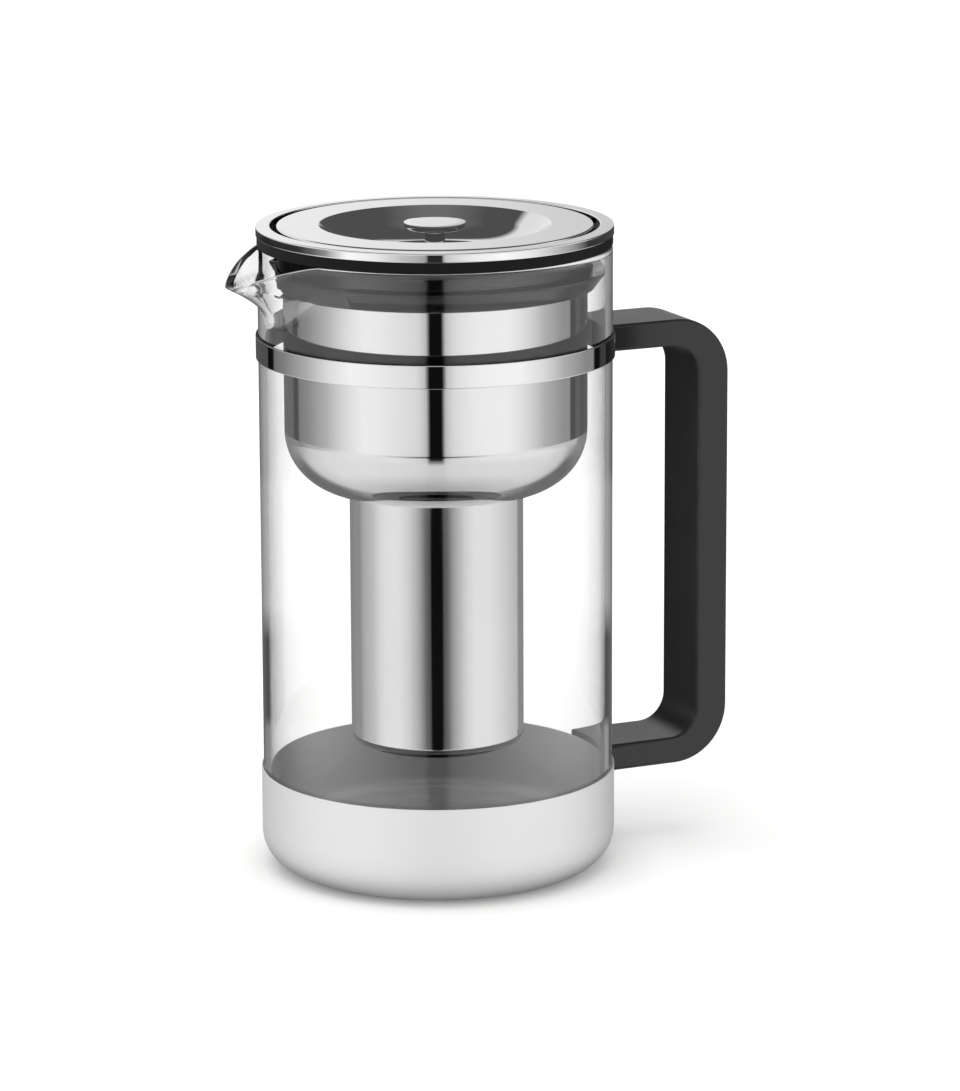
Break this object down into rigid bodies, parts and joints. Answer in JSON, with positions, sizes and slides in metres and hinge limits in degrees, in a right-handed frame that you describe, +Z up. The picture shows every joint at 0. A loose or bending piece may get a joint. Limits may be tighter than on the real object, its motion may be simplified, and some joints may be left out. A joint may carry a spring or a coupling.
{
  "type": "water filter jug",
  "caption": "Glass water filter jug with a steel base cup, black C handle, pinched spout, and a lift-out steel funnel and sleeve holding a refillable cartridge under a dished lid.",
  "frame": {"origin": "on the jug's axis, at the surface that it stands on", "axes": "+Z up along the jug's axis, +X towards the handle, -X towards the spout"},
  "size_m": [0.2202, 0.1484, 0.2726],
  "materials": {
    "clear_glass": "clear blown borosilicate",
    "polished_steel": "mirror-polished stainless steel",
    "satin_steel": "satin stainless steel",
    "brushed_steel": "brushed stainless steel",
    "black_plastic": "matt moulded plastic",
    "gloss_black_plastic": "gloss moulded plastic",
    "black_silicone": "moulded silicone",
    "filter_granules": "loose granules"
  },
  "bodies": {
    "jug": {"glass_jug": "clear_glass", "glass_floor": "clear_glass", "base_cup": "satin_steel", "base_cushion": "black_silicone", "foot_pad": "black_silicone", "neck_band": "polished_steel", "handle": "black_plastic", "upper_bracket": "satin_steel", "lower_bracket": "satin_steel", "upper_screw": "satin_steel", "lower_screw": "satin_steel"},
    "filter_unit": {"rim_ring": "polished_steel", "collar": "gloss_black_plastic", "wiper_seal": "black_silicone", "funnel_bowl": "polished_steel", "filter_sleeve": "polished_steel", "cartridge_seat": "black_silicone"},
    "cartridge": {"cartridge_can": "brushed_steel", "inlet_screen": "brushed_steel", "filter_granules": "filter_granules"},
    "lid": {"lid_plate": "polished_steel", "lid_gasket": "black_silicone", "knob_cap": "polished_steel", "knob_stem": "polished_steel", "knob_washer": "black_silicone", "knob_screw": "satin_steel"},
    "bail": {"bail": "brushed_steel"},
    "cap_seal": {"cap_o_ring": "black_silicone"},
    "screw_cap": {"cartridge_cap": "brushed_steel", "outlet_mesh": "brushed_steel"}
  },
  "joints": [
    {"name": "filter_unit_lift", "type": "slide", "parent": "jug", "child": "filter_unit", "axis": [0, 0, 1], "range_m": [0, 0.22]},
    {"name": "cartridge_lift", "type": "slide", "parent": "filter_unit", "child": "cartridge", "axis": [0, 0, 1], "range_m": [0, 0.215]},
    {"name": "lid_lift", "type": "slide", "parent": "cartridge", "child": "lid", "axis": [0, 0, 1], "range_m": [0, 0.08]},
    {"name": "bail_swing", "type": "hinge", "parent": "cartridge", "child": "bail", "pos_m": [0, 0, 0.1675], "axis": [0, 1, 0], "range_deg": [-85, 85]},
    {"name": "cap_travel", "type": "slide", "parent": "cartridge", "child": "cap_seal", "axis": [0, 0, -1], "range_m": [0, 0.0042]},
    {"name": "cap_turn", "type": "hinge", "parent": "cap_seal", "child": "screw_cap", "pos_m": [0, 0, 0.0758], "axis": [0, 0, -1], "range_deg": [0, 360]}
  ],
  "couplings": [
    {"joint": "cap_travel", "follows": "cap_turn", "m_per_rad": 0.00066845}
  ]
}
